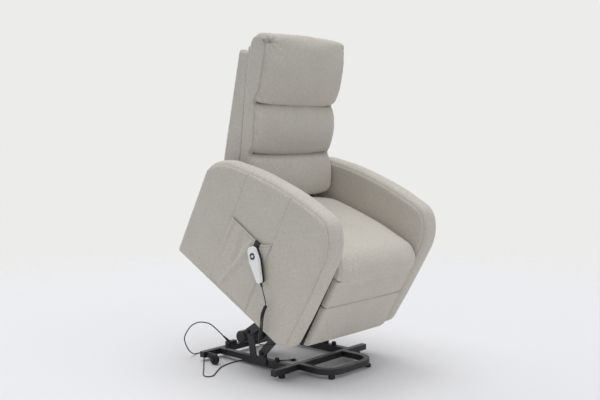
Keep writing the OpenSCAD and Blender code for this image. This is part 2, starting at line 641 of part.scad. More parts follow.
module mid_cushion() pillow([[shell_front(538) + 0.5, 538], [92, 534], [116, 562], [112, 600], [92, 665],
  [62, 706], [34, 724], [shell_front(725) + 0.5, 725]], [4, 12, 16, 18, 30, 20, 10, 4]);
module lumbar_cushion() pillow([[shell_front(380) + 0.5, 380], [190, 380], [205, 398], [196, 430],
  [172, 478], [136, 521], [104, 529], [shell_front(529) + 0.5, 529]], [4, 8, 10, 14, 24, 20, 10, 4]);

// ---------- footrest and its links ----------
foot_pin_r = 5;
module footrest_lower_links() color(steel) on_chair() both_sides() {
  plate(foot_lower_x, link_t) mirror([1, 0]) difference() {
    bar([foot_pivot_f, foot_pivot_u], foot_joint, foot_link_w);
    translate([foot_pivot_f, foot_pivot_u]) circle(r = pivot_r + pivot_gap, $fn = 48);
  }
  pin(foot_upper_x - side_gap, foot_lower_x, -foot_joint[0], foot_joint[1], foot_pin_r);
  pin(foot_upper_x - side_gap - 3, foot_upper_x - side_gap, -foot_joint[0], foot_joint[1], 9);
}
module footrest_upper_links() color(steel) on_chair() both_sides() {
  plate(foot_upper_x, link_t) mirror([1, 0]) difference() {
    bar(foot_joint, board_joint, foot_link_w);
    translate(foot_joint) circle(r = foot_pin_r + pivot_gap, $fn = 48);
  }
  pin(foot_upper_x + link_t, foot_lower_x + link_t + 0.3, -board_joint[0], board_joint[1], foot_pin_r);
  pin(foot_lower_x + link_t + 0.3, foot_lower_x + link_t + 2, -board_joint[0], board_joint[1], 9);
}
module footrest_brackets() color(steel) on_chair() both_sides() plate(foot_lower_x, link_t)
  mirror([1, 0]) difference() {
    union() {
      translate(board_joint) circle(d = foot_link_w, $fn = 48);
      translate([board_joint[0], board_joint[1] - 24]) square([board_f - board_joint[0], 44]);
    }
    translate(board_joint) circle(r = foot_pin_r + pivot_gap, $fn = 48);
  }
module footrest_board() color("#c9a877") on_chair()
  translate([-foot_lower_x - link_t, -board_f - board_t, 6])
    cube([2 * (foot_lower_x + link_t), board_t, footrest_top - 10]);
pad_f = board_f + board_t;
pad_half = inner_x - cushion_gap;
module foot_pad(u0, u1, cuts) color(cloth) on_chair()
  padded(soften([[pad_f, u0], [pad_f + 25, u0], [pad_f + 29, (u0 + u1) / 2], [pad_f + 25, u1], [pad_f, u1]],
    cuts), -pad_half, pad_half, 10);
module footrest_upper_pad() foot_pad(footrest_seam + 0.5, footrest_top, [1, 5, 30, 14, 3]);
module footrest_lower_pad() foot_pad(2, footrest_seam - 0.5, [2, 14, 30, 5, 1]);

// ---------- actuator ----------
gear_start = 34;
gear_end = 104;
tube_end = 318;
module on_ram() translate([0, ram_y, ram_z]) rotate([-ram_angle, 0, 0]) children();
module actuator_gearbox() color("#1a1b1d") on_ram() {
  translate([-34, -gear_end, -30]) cube([68, gear_end - gear_start, 60]);
  difference() {
    union() {
      pin(-12.5, 12.5, 0, 0, 13);
      translate([-12.5, -gear_start, -11]) cube([25, gear_start, 22]);
    }
    pin(-14, 14, 0, 0, clevis_r + pivot_gap);
  }
}
module actuator_motor() color("#151618") on_ram()
  translate([-34, -(gear_start + gear_end) / 2, 0]) rotate([0, -90, 0]) rotate_extrude($fn = 72)
    polygon([[0, 0], [motor_d / 2 - 3, 0], [motor_d / 2 - 3, 6], [motor_d / 2, 8],
      [motor_d / 2, motor_len - 4], [motor_d / 2 - 4, motor_len], [0, motor_len]]);
module actuator_tube() color("#27282a") on_ram() difference() {
  translate([0, -gear_end, 0]) rotate([90, 0, 0]) cylinder(d = ram_tube_d, h = tube_end - gear_end, $fn = 64);
  translate([0, -gear_end + 1, 0]) rotate([90, 0, 0])
    cylinder(d = rod_d + 2 * pivot_gap, h = tube_end - gear_end + 2, $fn = 64);
}
module actuator_rod() color("#9a9da1") on_ram() difference() {
  union() {
    translate([0, -(ram_len - 179), 0]) rotate([90, 0, 0]) cylinder(d = rod_d, h = 163, $fn = 64);
    pin(-12.5, 12.5, -ram_len, 0, clevis_r + eye_gap + 5);
  }
  pin(-14, 14, -ram_len, 0, clevis_r + eye_gap);
}
module actuator_clevis() color(steel) {
  both_sides() plate(13, 4) union() {
    bar([ram_y, ram_z], [rear_y - tube / 2 - 14, 34], 26);
    translate([rear_y - tube / 2 - 26, 24]) square([26, tube_top - 24]);
  }
  pin(-20, 20, ram_y, ram_z, clevis_r);
}

// ---------- power lead ----------
relief_base = [-128, 380, tube_top + 12];
relief_end = [-152, 396, 82];
module lead_coupler() color("#1b1c1e")
  translate([relief_base[0] - 18, rear_y - 11, tube_top]) cube([52, 22, 18]);
module lead_strain_relief() color("#121212") difference() {
  d = relief_end - relief_base;
  translate(relief_base) rotate([0, acos(d[2] / norm(d)), atan2(d[1], d[0])])
    cylinder(r1 = 7, r2 = 3.2, h = norm(d), $fn = 36);
  translate([relief_base[0] - 40, rear_y - 40, tube_top - 10]) cube([80, 80, 28]);
}
lead_z = lead_d / 2;
plug_back = [-38, 92, 5.5];
plug_turn = -35;
lead_route = [relief_end, [-196, 430, 137], [-227, 462, 149], [-262, 466, 147], [-292, 467, 133],
  [-320, 468, 92], [-300, 468, 39], [-264, 476, 10], [-234, 486, lead_z], [-207, 480, lead_z],
  [-202, 453, lead_z], [-232, 425, lead_z], [-268, 398, lead_z], [-322, 338, lead_z],
  [-381, 272, lead_z], [-432, 216, lead_z], [-446, 182, lead_z], [-420, 170, lead_z],
  [-368, 204, lead_z], [-310, 240, lead_z], [-250, 256, lead_z], [-190, 256, lead_z],
  [-135, 232, lead_z], [-98, 180, lead_z], [-70, 128, 3], plug_back];
module power_lead() color("#1a1b1e") cord(spline(lead_route, 2), lead_d, 8);
module lead_plug() color("#121212") translate(plug_back) rotate([0, 90, plug_turn]) {
  cylinder(r1 = 3.6, r2 = 5.5, h = 8, $fn = 36);
  translate([0, 0, 8]) cylinder(r = 5.5, h = 16, $fn = 36);
  translate([0, 0, 24]) cylinder(r = 2.75, h = 10, $fn = 36);
}

base_rails();
base_front_tube();
base_rear_tube();
base_front_loop();
tube_end_caps();
base_feet();
lift_brackets();
lift_pivot_bolts();
pivot_washers();
rail_bumpers();
wheel_brackets();
actuator_clevis();
lead_coupler();
lead_strain_relief();
power_lead();
lead_plug();
wheel_right();
wheel_left();
lift_arms();
torque_tube();
front_link_right();
front_link_left();
mechanism_plates();
chassis_tubes();
chassis_pivot_plates();
chassis_bolts();
actuator_front_bracket();
right_arm();
left_arm();
arm_bolts();
seat_frame();
seat_webbing();
seat_cushion();
rear_panel();
side_pocket();
control_box();
handset_front_shell();
handset_back_shell();
handset_hook();
handset_strain_relief();
handset_cord();
handset_coil();
handset_tail();
back_shell();
back_brackets();
head_cushion();
mid_cushion();
lumbar_cushion();
footrest_lower_links();
footrest_upper_links();
footrest_board();
footrest_brackets();
footrest_upper_pad();
footrest_lower_pad();
actuator_gearbox();
actuator_motor();
actuator_tube();
actuator_rod();
button_up();
button_down();
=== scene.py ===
"""Lift recliner chair, fully raised: the visible surfaces of its pieces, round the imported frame."""
from math import pi, radians

import bpy
import numpy as np
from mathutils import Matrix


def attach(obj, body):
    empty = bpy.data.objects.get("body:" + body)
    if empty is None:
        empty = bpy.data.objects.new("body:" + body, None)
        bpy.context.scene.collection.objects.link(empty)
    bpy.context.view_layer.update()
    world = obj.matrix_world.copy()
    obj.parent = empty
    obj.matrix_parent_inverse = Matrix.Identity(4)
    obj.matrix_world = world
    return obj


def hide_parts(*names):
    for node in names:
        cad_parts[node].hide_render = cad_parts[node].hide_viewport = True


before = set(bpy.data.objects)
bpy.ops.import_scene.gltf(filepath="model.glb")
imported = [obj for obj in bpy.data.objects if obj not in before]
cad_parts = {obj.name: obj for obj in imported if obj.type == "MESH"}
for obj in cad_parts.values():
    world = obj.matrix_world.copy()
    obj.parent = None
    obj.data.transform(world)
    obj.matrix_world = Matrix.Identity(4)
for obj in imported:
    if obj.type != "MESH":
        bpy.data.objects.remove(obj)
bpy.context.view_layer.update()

# ---------------------------------------------------------------------------------------------
# Studio
# A pale seamless floor and backdrop, very soft lamps above, ahead and behind, and an even sky,
# with the camera ahead of the chair's right side.
# ---------------------------------------------------------------------------------------------


def keep(name, data):
    """A new object for the data, at the origin of the row frame."""
    made = bpy.data.objects.new(name, data)
    bpy.context.collection.objects.link(made)
    return made


def shade(text, alpha=1.0):
    """An sRGB hex colour as linear red, green, blue and alpha."""
    c = np.array([int(text[i:i + 2], 16) for i in (1, 3, 5)]) / 255
    return (*np.where(c <= 0.04045, c / 12.92, ((c + 0.055) / 1.055) ** 2.4), alpha)


def add(tree, kind, inputs=None, **settings):
    """A node with its settings; each input takes a value, or a link when it is given a socket."""
    made = tree.nodes.new(kind)
    for name, value in settings.items():
        setattr(made, name, value)
    for name, value in (inputs or {}).items():
        if isinstance(value, bpy.types.NodeSocket):
            tree.links.new(value, made.inputs[name])
        else:
            made.inputs[name].default_value = value
    return made


def finish_of(name, **inputs):
    """A named material, its node tree and its Principled shader with constant inputs set."""
    made = bpy.data.materials.new(name)
    made.use_nodes = True
    shader = made.node_tree.nodes["Principled BSDF"]
    for key, value in inputs.items():
        shader.inputs[key.replace("_", " ")].default_value = value
    return made, made.node_tree, shader


def seen_directly(tree):
    """1 where the camera sees the surface, straight on, mirrored or through another, else 0."""
    rays = add(tree, "ShaderNodeLightPath").outputs
    seen = add(tree, "ShaderNodeMath", {0: rays["Is Camera Ray"], 1: rays["Is Glossy Ray"]},
               operation="MAXIMUM")
    seen = add(tree, "ShaderNodeMath", {0: seen.outputs[0], 1: rays["Is Transmission Ray"]},
               operation="MAXIMUM")
    return seen.outputs[0]


camera = keep("camera", bpy.data.cameras.new("camera"))
camera.data.sensor_width = 36
camera.data.lens = 50.68
camera.location = (-2.70, -2.38, 1.0)
camera.rotation_euler = (radians(85.41), 0, radians(-47.8))
bpy.context.scene.camera = camera
bpy.context.scene.view_settings.view_transform = "Standard"

for name, energy, tilt in (("overhead_lamp", 1.62, 0), ("front_lamp", 0.35, 40),
                           ("rear_lamp", 0.7, -40)):
    lamp = keep(name, bpy.data.lights.new(name, "SUN"))
    lamp.data.energy = energy
    lamp.data.angle = radians(60)
    lamp.rotation_euler = (radians(tilt), 0, 0)

sky = bpy.data.worlds.new("studio")
bpy.context.scene.world = sky
sky.use_nodes = True
t = sky.node_tree
t.nodes.clear()
even = add(t, "ShaderNodeBackground", {"Color": shade("#f4f6ff"), "Strength": 0.465})
pale = add(t, "ShaderNodeBackground", {"Color": shade("#ececeb"), "Strength": 1.0})
both = add(t, "ShaderNodeMixShader", {0: seen_directly(t), 1: even.outputs[0], 2: pale.outputs[0]})
add(t, "ShaderNodeOutputWorld", {"Surface": both.outputs[0]})

floor_mesh = bpy.data.meshes.new("studio_floor")
floor_mesh.from_pydata([(-9, -9, 0), (9, -9, 0), (9, 9, 0), (-9, 9, 0)], [], [(0, 1, 2, 3)])
studio_floor = keep("studio_floor", floor_mesh)
floor_paint, t, shader = finish_of("matt_floor_paint", Roughness=0.6, Specular_IOR_Level=0.2)
tone = add(t, "ShaderNodeMix", {0: seen_directly(t), 6: shade("#e8e8e7"), 7: shade("#d9d9da")},
           data_type="RGBA")
t.links.new(tone.outputs[2], shader.inputs["Base Color"])
spot = add(t, "ShaderNodeTexCoord").outputs["Object"]
reach = add(t, "ShaderNodeVectorMath", {0: spot}, operation="LENGTH")
fade = add(t, "ShaderNodeMapRange", {"Value": reach.outputs["Value"], "From Min": 1.6, "From Max": 4.4,
                                     "To Min": 1.0, "To Max": 0.0}, interpolation_type="SMOOTHERSTEP")
t.links.new(fade.outputs["Result"], shader.inputs["Alpha"])
floor_mesh.materials.append(floor_paint)

# ---------------------------------------------------------------------------------------------
# Power lead
# A black round lead, 5 mm over its PVC jacket, from the coupler on the rear tube. It springs up
# out of its strain relief, comes down behind the chair and lies on the floor to its connector.
# ---------------------------------------------------------------------------------------------


def jacket(name, base, roughness, grain_mm=0.6, height=0.05):
    """Moulded or extruded polymer: one colour with a fine grain, slightly uneven in gloss."""
    made, t, shader = finish_of(name, Base_Color=shade(base), Roughness=roughness,
                                Specular_IOR_Level=0.5)
    spot = add(t, "ShaderNodeTexCoord").outputs["Object"]
    grain = add(t, "ShaderNodeTexNoise", {"Vector": spot, "Scale": 1000 / (grain_mm * 4), "Detail": 4})
    cloud = add(t, "ShaderNodeTexNoise", {"Vector": spot, "Scale": 1000 / 45, "Detail": 2})
    gloss = add(t, "ShaderNodeMapRange", {"Value": cloud.outputs["Fac"], "From Min": 0.3,
                                          "From Max": 0.7, "To Min": roughness - 0.05,
                                          "To Max": roughness + 0.08})
    t.links.new(gloss.outputs["Result"], shader.inputs["Roughness"])
    bump = add(t, "ShaderNodeBump", {"Height": grain.outputs["Fac"], "Strength": height,
                                     "Distance": 0.001})
    t.links.new(bump.outputs["Normal"], shader.inputs["Normal"])
    return made


def curve_through(points, per):
    """Points of the smooth cubic curve through given points, each span cut into per steps."""
    p = np.array(points, float)
    p = np.vstack([p[:1], p, p[-1:]])
    s = (np.arange(per) / per)[None, :, None]
    a, b, c, d = (p[k:len(p) - 3 + k, None, :] for k in range(4))
    line = (b * 2 + (c - a) * s + (a * 2 - b * 5 + c * 4 - d) * s ** 2
            + (b * 3 - a - c * 3 + d) * s ** 3) / 2
    return np.vstack([line.reshape(-1, 3), p[-1:]])


def tube_mesh(name, path, diameter, sides=12, lean=(0.0, 0.7, 0.7)):
    """A round tube: every point of the path carries a circle of the diameter, square to the path."""
    d = np.gradient(path, axis=0)
    d /= np.linalg.norm(d, axis=1, keepdims=True)
    a = np.cross(d, lean)
    a /= np.linalg.norm(a, axis=1, keepdims=True)
    b = np.cross(d, a)
    turn = np.arange(sides) * 2 * pi / sides
    rings = (path[:, None] + diameter / 2 * (a[:, None] * np.cos(turn)[None, :, None]
                                             + b[:, None] * np.sin(turn)[None, :, None]))
    return surface(name, rings, around=True, capped=True)


def surface(name, grid, around=False, capped=False):
    """A grid of points, rows by columns, as a mesh of quads; around joins the last column to the
    first and capped closes the first and last row with a face."""
    rows, cols = grid.shape[:2]
    i = np.arange(rows - 1)[:, None]
    j = np.arange(cols if around else cols - 1)[None, :]
    k = (j + 1) % cols
    quads = np.stack([i * cols + j, i * cols + k, (i + 1) * cols + k, (i + 1) * cols + j], -1)
    faces = quads.reshape(-1, 4).tolist()
    if capped:
        faces += [list(range(cols))[::-1], list(range((rows - 1) * cols, rows * cols))]
    mesh = bpy.data.meshes.new(name)
    mesh.from_pydata(grid.reshape(-1, 3).tolist(), [], faces)
    mesh.validate()
    made = keep(name, mesh)
    outward(made)
    mesh.shade_smooth()
    return made


def outward(piece):
    """Turns the faces of a closed piece outwards when its volume comes out negative."""
    mesh = piece.data
    mesh.calc_loop_triangles()
    corners = np.empty(len(mesh.loop_triangles) * 3, int)
    mesh.loop_triangles.foreach_get("vertices", corners)
    co = np.empty(len(mesh.vertices) * 3)
    mesh.vertices.foreach_get("co", co)
    p = co.reshape(-1, 3)[corners.reshape(-1, 3)]
    if np.einsum("ij,ij->i", p[:, 0], np.cross(p[:, 1], p[:, 2])).sum() < 0:
        mesh.flip_normals()


pvc_black = jacket("extruded_pvc_black", "#17181a", 0.42, grain_mm=0.8)
lead_z = 2.5
lead_stops = [(-152, 396, 82), (-196, 430, 137), (-227, 462, 149), (-262, 466, 147), (-292, 467, 133),
              (-320, 468, 92), (-300, 468, 39), (-264, 476, 10), (-234, 486, lead_z),
              (-207, 480, lead_z), (-202, 453, lead_z), (-232, 425, lead_z), (-268, 398, lead_z),
              (-322, 338, lead_z), (-381, 272, lead_z), (-432, 216, lead_z), (-446, 182, lead_z),
              (-420, 170, lead_z), (-368, 204, lead_z), (-310, 240, lead_z), (-250, 256, lead_z),
              (-190, 256, lead_z), (-135, 232, lead_z), (-98, 180, lead_z), (-70, 128, 3),
              (-38, 92, 5.5)]
lead_path = curve_through(np.array(lead_stops) / 1000, 8)
power_lead = tube_mesh("power_lead_jacket", lead_path, 0.005)
power_lead.data.materials.append(pvc_black)
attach(power_lead, "base")
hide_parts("power_lead")

# ---------------------------------------------------------------------------------------------
# Barrel connector
# A straight moulded PVC grip with three finger ribs and a nickel-plated barrel, at the end of
# the lead, where a power supply plugs in.
# ---------------------------------------------------------------------------------------------


def turned(name, profile, start, along, sides=48):
    """A turned body: a profile of (distance, radius) pairs carried round the axis from start."""
    way = np.array(along, float) / np.linalg.norm(along)
    side = np.cross(way, (0, 0, 1) if abs(way[2]) < 0.9 else (0, 1, 0))
    side /= np.linalg.norm(side)
    up = np.cross(way, side)
    turn = np.arange(sides) * 2 * pi / sides
    prof = np.array(profile, float)
    rings = (np.array(start) + prof[:, 0, None, None] * way
             + prof[:, 1, None, None] * (side * np.cos(turn)[:, None] + up * np.sin(turn)[:, None]))
    return surface(name, rings, around=True, capped=True)


nickel, t, shader = finish_of("nickel_plate", Base_Color=shade("#c9c7c0"), Metallic=1.0, Roughness=0.28)
spot = add(t, "ShaderNodeTexCoord").outputs["Object"]
scuff = add(t, "ShaderNodeTexNoise", {"Vector": spot, "Scale": 900.0, "Detail": 3})
dull = add(t, "ShaderNodeMapRange", {"Value": scuff.outputs["Fac"], "To Min": 0.2, "To Max": 0.4})
t.links.new(dull.outputs["Result"], shader.inputs["Roughness"])
plug_back = np.array([-0.038, 0.092, 0.0055])
plug_way = (np.cos(radians(-35)), np.sin(radians(-35)), 0)
grip = [(0, 0.0001), (0, 0.0036), (0.002, 0.0040), (0.0035, 0.0033), (0.005, 0.0045), (0.0065, 0.0037),
        (0.008, 0.0050), (0.0095, 0.0055), (0.022, 0.0055), (0.0237, 0.0051), (0.024, 0.0045),
        (0.024, 0.0001)]
connector_grip = turned("connector_grip", grip, plug_back, plug_way)
connector_grip.data.materials.append(jacket("moulded_pvc_black", "#141415", 0.5))
barrel = [(0.0238, 0.0001), (0.0238, 0.00275), (0.0325, 0.00275), (0.034, 0.0022), (0.034, 0.0012),
          (0.028, 0.0012), (0.028, 0.0001)]
connector_barrel = turned("connector_barrel", barrel, plug_back, plug_way)
connector_barrel.data.materials.append(nickel)
for piece in (connector_grip, connector_barrel):
    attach(piece, "base")
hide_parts("lead_plug")

# ---------------------------------------------------------------------------------------------
# Handset cord
# A curly cord: straight out of the handset, then a tight coil 15 mm across that hangs past the
# lower edge of the arm, then a straight tail back under the arm to the control box.
# ---------------------------------------------------------------------------------------------
TILT = radians(28.3)
REAR_CORNER = (0.46162, 0.48921)


def chair(x, f, u):
    """Row-frame points of the raised chair's own measures: x across, f forward from the arms' rear
    edge and u up from their lower edge, turned forward by the tilt about the lower rear corner."""
    x, f, u = np.broadcast_arrays(x, f, u)
    return np.stack([x, REAR_CORNER[0] - f * np.cos(TILT) - u * np.sin(TILT),
                     REAR_CORNER[1] - f * np.sin(TILT) + u * np.cos(TILT)], -1)


def chair_mm(stops):
    """Row-frame points from a list of (x, f, u) in millimetres."""
    p = np.array(stops, float) / 1000
    return chair(p[:, 0], p[:, 1], p[:, 2])


cord_x = -382.25
relief_len = 151 + 16
relief_turn = radians(-42.6)
relief_tip = (cord_x, 396 + relief_len * np.cos(relief_turn), 287 + relief_len * np.sin(relief_turn))
coil_stops = [(-384, 572, 122), (-384, 574, 78), (-384, 594, 26), (-384, 610, -24)]
lead_in = curve_through(chair_mm([relief_tip, (-383, 538, 157), (-384, 558, 140), coil_stops[0]]), 8)
coil_line = curve_through(chair_mm(coil_stops), 150)
tail = curve_through(chair_mm([coil_stops[-1], (-380, 614, -36), (-352, 622, -40), (-306, 632, -38),
                               (-262, 639, -28), (-238, 643, 0), (-231, 645, 50), (-228, 648, 100),
                               (-214, 652, 138), (-192, 650, 150), (-178, 631.5, 150)]), 8)
turns = 33
way = np.gradient(coil_line, axis=0)
way /= np.linalg.norm(way, axis=1, keepdims=True)
across = np.cross(way, (1, 0, 0))
across /= np.linalg.norm(across, axis=1, keepdims=True)
share = np.linspace(0, 1, len(coil_line))
ease = np.clip(np.minimum(share, 1 - share) * turns / 1.2, 0, 1)
ease = (0.0055 * ease * ease * (3 - 2 * ease))[:, None]
angle = (share * turns * 2 * pi)[:, None]
coil_path = coil_line + ease * (np.cos(angle) * np.array([1, 0, 0]) + np.sin(angle) * across)
cord_path = np.vstack([lead_in[:-1], coil_path, tail[1:]])
handset_cord = tube_mesh("handset_curly_cord", cord_path, 0.0038, sides=8, lean=(0.35, 0.55, 0.75))
handset_cord.data.materials.append(pvc_black)
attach(handset_cord, "chassis")
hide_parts("handset_cord", "handset_coil", "handset_tail")

# ---------------------------------------------------------------------------------------------
# Upholstery cloth
# A flat-woven polyester linen in warm pale grey: slubby two-tone threads crossing at about
# 0.8 mm, tight over foam, with pinched seams where two panels are sewn together, each drawn
# with a thin dark line of painted shade for the shadow in its groove.
# ---------------------------------------------------------------------------------------------


def upholstery(name, pale_thread, dark_thread):
    """Woven cloth on the UV map, which holds millimetres of cloth; the attribute seam holds the
    signed distance to the nearest seam in metres. Threads are drawn 2.6 mm apart, three times
    their real spacing, because the real ones are too fine to show."""
    made, t, shader = finish_of(name, Roughness=0.92, Sheen_Weight=0.18, Sheen_Roughness=0.45,
                                Specular_IOR_Level=0.25)
    cloth = add(t, "ShaderNodeUVMap", uv_map="cloth").outputs["UV"]
    body = add(t, "ShaderNodeTexCoord").outputs["Object"]
    warp = add(t, "ShaderNodeTexWave", {"Vector": cloth, "Scale": 1 / (2.6 * 3.2), "Distortion": 0.8,
                                        "Detail": 2.0, "Detail Scale": 0.4},
               wave_type="BANDS", bands_direction="X")
    weft = add(t, "ShaderNodeTexWave", {"Vector": cloth, "Scale": 1 / (2.6 * 3.2), "Distortion": 0.8,
                                        "Detail": 2.0, "Detail Scale": 0.4},
               wave_type="BANDS", bands_direction="Y")
    over = add(t, "ShaderNodeMath", {0: warp.outputs["Fac"], 1: weft.outputs["Fac"]},
               operation="MAXIMUM")
    # slubs: short streaks of lighter and darker yarn along each direction, 14 mm by 1.5 mm
    slub = []
    for long_way, short_way in ((1 / 14, 1 / 1.5), (1 / 1.5, 1 / 14)):
        stretch = add(t, "ShaderNodeMapping", {"Vector": cloth, "Scale": (long_way, short_way, 1)})
        slub.append(add(t, "ShaderNodeTexNoise", {"Vector": stretch.outputs["Vector"], "Scale": 1.0,
                                                  "Detail": 2.0}).outputs["Fac"])
    yarn = add(t, "ShaderNodeMath", {0: slub[0], 1: slub[1]}, operation="ADD")
    yarn = add(t, "ShaderNodeMapRange", {"Value": yarn.outputs[0], "From Min": 0.8, "From Max": 1.2})
    cloud = add(t, "ShaderNodeTexNoise", {"Vector": body, "Scale": 1 / 0.09, "Detail": 3.0})
    mixed = add(t, "ShaderNodeMath", {0: yarn.outputs["Result"], 1: 0.72, 2: 0.0},
                operation="MULTIPLY_ADD")
    shift = add(t, "ShaderNodeMath", {0: cloud.outputs["Fac"], 1: 0.35, 2: mixed.outputs[0]},
                operation="MULTIPLY_ADD")
    tone = add(t, "ShaderNodeMix", {0: shift.outputs[0], 6: shade(dark_thread), 7: shade(pale_thread)},
               data_type="RGBA", clamp_factor=True)
    # the seams: a thin dark line of painted shade, the shadow in each seam's pinched groove, over a sunk
    # bump
    seam = add(t, "ShaderNodeAttribute", attribute_name="seam").outputs["Fac"]
    near = add(t, "ShaderNodeMath", {0: seam}, operation="ABSOLUTE")
    line = add(t, "ShaderNodeMapRange", {"Value": near.outputs[0], "From Min": 0.0003,
                                         "From Max": 0.0016, "To Min": 1.0, "To Max": 0.0})
    dark = add(t, "ShaderNodeMath", {0: line.outputs["Result"], 1: 0.24}, operation="MULTIPLY")
    seam_shaded = add(t, "ShaderNodeMix", {0: dark.outputs[0], 6: tone.outputs[2], 7: shade("#5d5851")},
               data_type="RGBA")
    t.links.new(seam_shaded.outputs[2], shader.inputs["Base Color"])
    sunk = add(t, "ShaderNodeMath", {0: line.outputs["Result"], 1: -6.0, 2: over.outputs[0]},
               operation="MULTIPLY_ADD")
    bump = add(t, "ShaderNodeBump", {"Height": sunk.outputs[0], "Strength": 0.35, "Distance": 0.0004})
    t.links.new(bump.outputs["Normal"], shader.inputs["Normal"])
    return made


linen = upholstery("woven_polyester_linen", "#d3cec3", "#b4aea3")


def rounded(points, cuts, spacing=0.003):
    """A closed outline in metres from corner points in millimetres: each corner becomes a curve
    that starts and ends its cut away from it, and the whole is set out at an even spacing."""
    p, c = np.array(points, float) / 1000, np.array(cuts, float) / 1000
    before, after = np.roll(p, 1, 0) - p, np.roll(p, -1, 0) - p
    a = p + before * (c / np.linalg.norm(before, axis=1))[:, None]
    b = p + after * (c / np.linalg.norm(after, axis=1))[:, None]
    s = np.linspace(0, 1, 13)[None, :, None]
    line = a[:, None] * (1 - s) ** 2 + p[:, None] * 2 * s * (1 - s) + b[:, None] * s ** 2
    line = line.reshape(-1, 2)
    ring = np.vstack([line, line[:1]])
    run = np.concatenate([[0], np.cumsum(np.linalg.norm(np.diff(ring, axis=0), axis=1))])
    at = np.linspace(0, run[-1], int(run[-1] / spacing) + 1)[:-1]
    return np.stack([np.interp(at, run, ring[:, k]) for k in (0, 1)], -1)


def outward_of(line):
    """Unit normals of a closed outline that runs anticlockwise with forward right and up up."""
    d = np.roll(line, -2, 0) - np.roll(line, 2, 0)
    n = np.stack([d[:, 1], -d[:, 0]], -1)
    return n / np.linalg.norm(n, axis=1, keepdims=True)


def upholstered(name, line, x0, x1, round_r, crown=0.0, all_round=False, slack=0.7, up=1.0):
    """A stuffed form: the outline carried from x0 to x1. Its ends are drawn in along a quarter
    circle of round_r where it faces up or forward, or all round. It swells by crown at mid width,
    as a sine to the power slack, where it faces forward and, by the share up, where it faces up."""
    n = outward_of(line)
    give = np.ones(len(line)) if all_round else np.clip(1.4 * np.maximum(n[:, 0], n[:, 1]), 0, 1)
    free = np.clip(1.4 * np.maximum(n[:, 0], up * n[:, 1]), 0, 1)
    a = np.linspace(0, pi / 2, 9)
    ends = np.stack([round_r * (1 - np.cos(a)), round_r * (1 - np.sin(a))], -1)
    steps = max(int((x1 - x0 - 2 * round_r) / 0.006), 2)
    mid = np.linspace(x0 + round_r, x1 - round_r, steps)[1:-1]
    x = np.concatenate([x0 + ends[:, 0], mid, x1 - ends[::-1, 0]])
    pulled = np.concatenate([ends[:, 1], 0 * mid, ends[::-1, 1]])
    swell = crown * np.sin(pi * np.clip((x - x0 - round_r) / (x1 - x0 - 2 * round_r), 0, 1)) ** slack
    out = swell[:, None] * free - pulled[:, None] * give
    p = line[None] + n[None] * out[:, :, None]
    return surface(name, chair(x[:, None], p[..., 0], p[..., 1]), around=True, capped=True)


def points_of(piece):
    """Vertex positions and normals of a piece's mesh."""
    mesh = piece.data
    co, n = np.empty(len(mesh.vertices) * 3), np.empty(len(mesh.vertices) * 3)
    mesh.vertices.foreach_get("co", co)
    mesh.vertex_normals.foreach_get("vector", n)
    return co.reshape(-1, 3), n.reshape(-1, 3)


def move_to(piece, co):
    """Puts the vertices of a piece at new positions."""
    piece.data.vertices.foreach_set("co", np.ascontiguousarray(co).ravel())
    piece.data.update()


def in_chair(co):
    """x, f and u of row-frame points, in the raised chair's own measures."""
    dy, dz = REAR_CORNER[0] - co[:, 1], co[:, 2] - REAR_CORNER[1]
    return co[:, 0], dy * np.cos(TILT) - dz * np.sin(TILT), dy * np.sin(TILT) + dz * np.cos(TILT)


def settled(piece):
    """The piece with its modifiers made part of its mesh."""
    graph = bpy.context.evaluated_depsgraph_get()
    mesh = bpy.data.meshes.new_from_object(piece.evaluated_get(graph))
    piece.modifiers.clear()
    old, piece.data = piece.data, mesh
    bpy.data.meshes.remove(old)
    piece.data.name = piece.name
    piece.data.shade_smooth()
    return piece


def stuffed(piece, voxel, cap=0.0, free=None, pressure=4.0, smooth=4):
    """The piece as blown-up cloth: evenly remeshed, swollen by cloth simulation for 20 frames,
    each point moved by at most cap times how free it is, then subdivided once."""
    remesh = piece.modifiers.new("even_net", "REMESH")
    remesh.mode, remesh.voxel_size = "VOXEL", voxel
    calm = piece.modifiers.new("calm", "SMOOTH")
    calm.iterations, calm.factor = smooth, 0.5
    settled(piece)
    start, _ = points_of(piece)
    if cap:
        loose = np.ones(len(start)) if free is None else free(*in_chair(start))
        held = piece.vertex_groups.new(name="held")
        for level in (0.25, 0.5, 0.75, 1.0):
            chosen = np.nonzero(np.abs((1 - loose) - level) < 0.125)[0]
            held.add(chosen.tolist(), level, "REPLACE")
        cloth = piece.modifiers.new("swell", "CLOTH")
        cloth.settings.quality = 4
        cloth.settings.mass = 0.4
        cloth.settings.tension_stiffness = 12
        cloth.settings.compression_stiffness = 12
        cloth.settings.shear_stiffness = 6
        cloth.settings.bending_stiffness = 0.6
        cloth.settings.use_pressure = True
        cloth.settings.uniform_pressure_force = pressure
        cloth.settings.effector_weights.gravity = 0
        cloth.settings.vertex_group_mass = "held"
        cloth.collision_settings.use_collision = False
        for step in range(1, 21):
            bpy.context.scene.frame_set(step)
        settled(piece)
        end, _ = points_of(piece)
        moved = end - start
        far = np.linalg.norm(moved, axis=1, keepdims=True) + 1e-9
        limit = cap * loose[:, None] + 1e-6
        move_to(piece, start + moved / far * limit * np.tanh(far / limit))
        bpy.context.scene.frame_set(1)
        piece.vertex_groups.clear()
    piece.modifiers.new("finer", "SUBSURF").levels = 1
    piece.modifiers["finer"].render_levels = 1
    return settled(piece)


